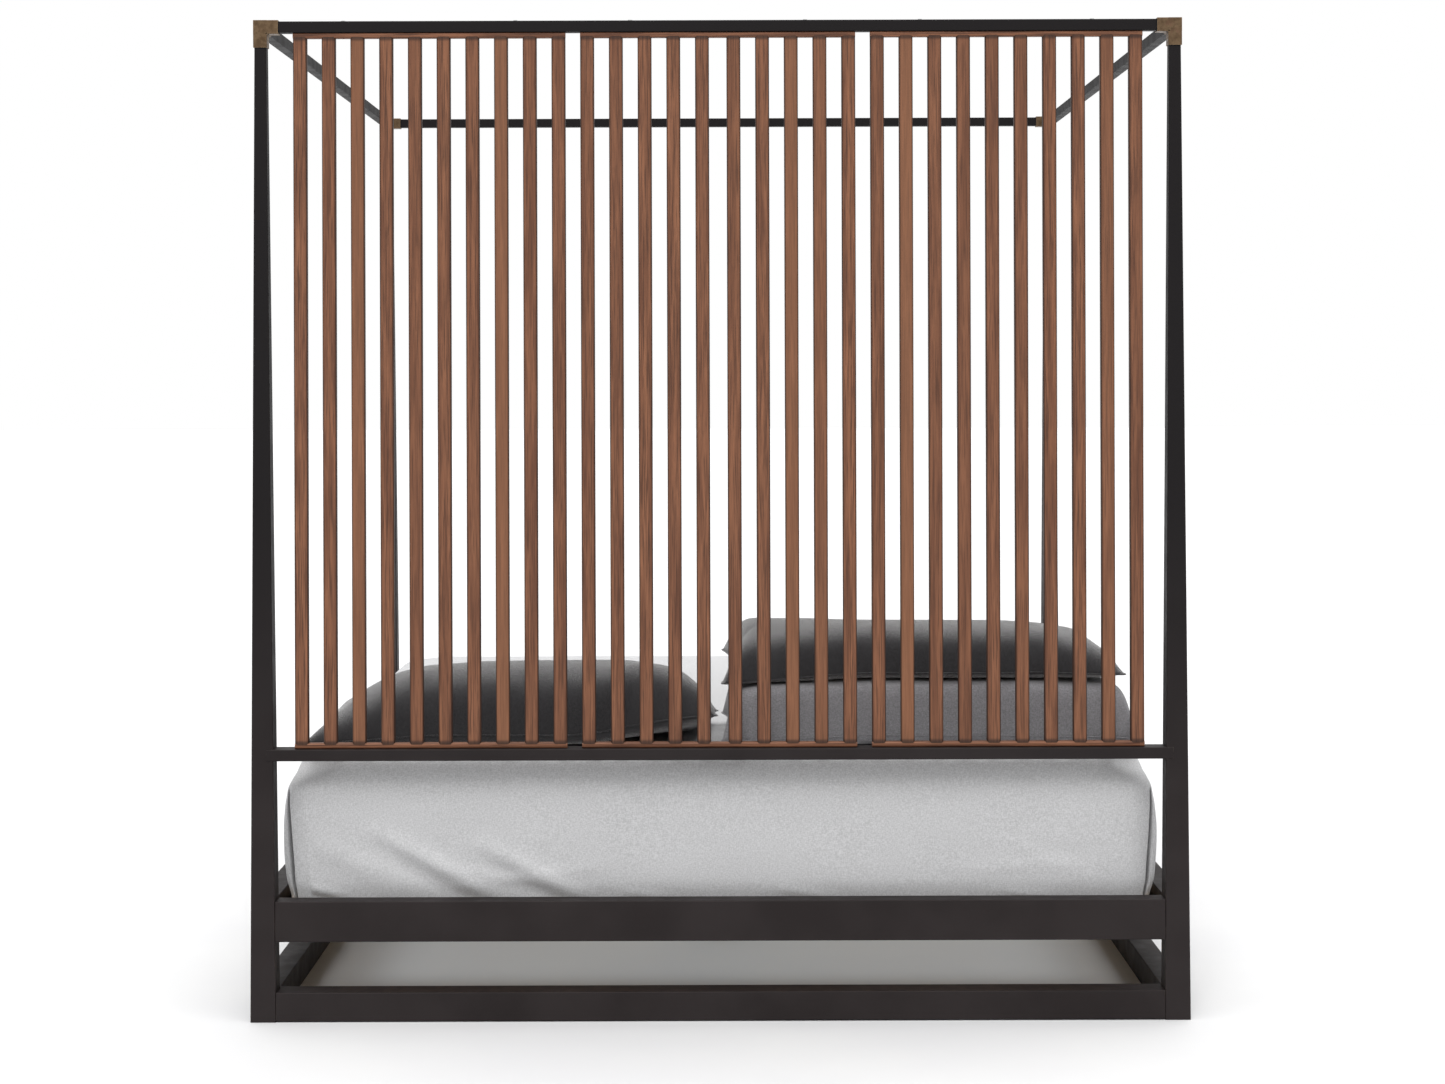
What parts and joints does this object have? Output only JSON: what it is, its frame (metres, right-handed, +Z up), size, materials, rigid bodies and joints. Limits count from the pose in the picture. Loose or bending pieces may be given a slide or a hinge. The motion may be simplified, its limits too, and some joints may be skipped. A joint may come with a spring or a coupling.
{
  "type": "four poster canopy bed",
  "caption": "Canopy bed: tapered steel posts joined by thin rails in bronze corner sleeves, a full height slatted wood headboard, and a slatted platform with mattress and pillows.",
  "frame": {"origin": "on the floor, at the middle of the bed's footprint", "axes": "+Z up, +Y from the head to the foot, +X to the right for someone who looks from the head end towards the foot"},
  "size_m": [2.092, 2.184, 2.231],
  "materials": {
    "frame_steel": "satin",
    "sleeve_bronze": "satin",
    "walnut": "satin",
    "slat_pine": "matte",
    "zinc_hardware": "satin",
    "plug_nylon": "matte",
    "sheet_linen": "matte",
    "mattress_ticking": "matte",
    "pillow_charcoal": "matte",
    "pillow_grey": "matte"
  },
  "bodies": {
    "frame": {"post_head_left": "frame_steel", "post_head_right": "frame_steel", "post_foot_left": "frame_steel", "post_foot_right": "frame_steel", "post_base_plugs": "plug_nylon", "bottom_rail_head": "frame_steel", "bottom_rail_foot": "frame_steel", "bottom_rail_left": "frame_steel", "bottom_rail_right": "frame_steel", "platform_rail_head": "frame_steel", "platform_rail_foot": "frame_steel", "platform_rail_left": "frame_steel", "platform_rail_right": "frame_steel", "rail_bolts": "zinc_hardware", "rail_bolt_inserts": "zinc_hardware", "canopy_rail_head": "frame_steel", "canopy_rail_foot": "frame_steel", "canopy_rail_left": "frame_steel", "canopy_rail_right": "frame_steel", "corner_sleeve_head_left": "sleeve_bronze", "corner_sleeve_head_right": "sleeve_bronze", "corner_sleeve_foot_left": "sleeve_bronze", "corner_sleeve_foot_right": "sleeve_bronze", "sleeve_set_screws": "zinc_hardware", "headboard_mid_rail": "frame_steel", "wood_rail_top_left": "walnut", "wood_rail_top_middle": "walnut", "wood_rail_top_right": "walnut", "wood_rail_bottom_left": "walnut", "wood_rail_bottom_middle": "walnut", "wood_rail_bottom_right": "walnut", "headboard_slats_left": "walnut", "headboard_slats_middle": "walnut", "headboard_slats_right": "walnut", "headboard_screws_lower": "zinc_hardware", "headboard_screws_upper": "zinc_hardware", "ledger_left": "frame_steel", "ledger_right": "frame_steel", "mattress_slats": "slat_pine", "mattress_slat_screws": "zinc_hardware", "centre_beam": "frame_steel", "beam_hanger_head": "frame_steel", "beam_hanger_foot": "frame_steel", "centre_leg_head": "frame_steel", "centre_leg_foot": "frame_steel", "deck_screws": "zinc_hardware"},
    "levelling_foot_head_left": {"levelling_foot_head_left": "zinc_hardware"},
    "levelling_foot_head_right": {"levelling_foot_head_right": "zinc_hardware"},
    "levelling_foot_foot_left": {"levelling_foot_foot_left": "zinc_hardware"},
    "levelling_foot_foot_right": {"levelling_foot_foot_right": "zinc_hardware"},
    "centre_glide_head": {"centre_glide_head": "zinc_hardware"},
    "centre_glide_foot": {"centre_glide_foot": "zinc_hardware"},
    "mattress": {"mattress": "mattress_ticking", "fitted_sheet": "sheet_linen"},
    "pillow_left": {"pillow_left": "pillow_charcoal"},
    "pillow_right_lower": {"pillow_right_lower": "pillow_grey"},
    "pillow_right_upper": {"pillow_right_upper": "pillow_charcoal"}
  },
  "joints": [
    {"name": "mattress_lift", "type": "slide", "parent": "frame", "child": "mattress", "axis": [0, 0, 1], "range_m": [0, 0.3]},
    {"name": "pillow_left_lift", "type": "slide", "parent": "mattress", "child": "pillow_left", "axis": [0, 0, 1], "range_m": [0, 0.25]},
    {"name": "pillow_right_lower_lift", "type": "slide", "parent": "mattress", "child": "pillow_right_lower", "axis": [0, 0, 1], "range_m": [0, 0.25]},
    {"name": "pillow_right_upper_lift", "type": "slide", "parent": "pillow_right_lower", "child": "pillow_right_upper", "axis": [0, 0, 1], "range_m": [0, 0.25]},
    {"name": "levelling_foot_head_left_screw", "type": "slide", "parent": "frame", "child": "levelling_foot_head_left", "axis": [0, 0, -1], "range_m": [0, 0.012]},
    {"name": "levelling_foot_head_right_screw", "type": "slide", "parent": "frame", "child": "levelling_foot_head_right", "axis": [0, 0, -1], "range_m": [0, 0.012]},
    {"name": "levelling_foot_foot_left_screw", "type": "slide", "parent": "frame", "child": "levelling_foot_foot_left", "axis": [0, 0, -1], "range_m": [0, 0.012]},
    {"name": "levelling_foot_foot_right_screw", "type": "slide", "parent": "frame", "child": "levelling_foot_foot_right", "axis": [0, 0, -1], "range_m": [0, 0.012]},
    {"name": "centre_glide_head_screw", "type": "slide", "parent": "frame", "child": "centre_glide_head", "axis": [0, 0, -1], "range_m": [0, 0.02]},
    {"name": "centre_glide_foot_screw", "type": "slide", "parent": "frame", "child": "centre_glide_foot", "axis": [0, 0, -1], "range_m": [0, 0.02]}
  ]
}
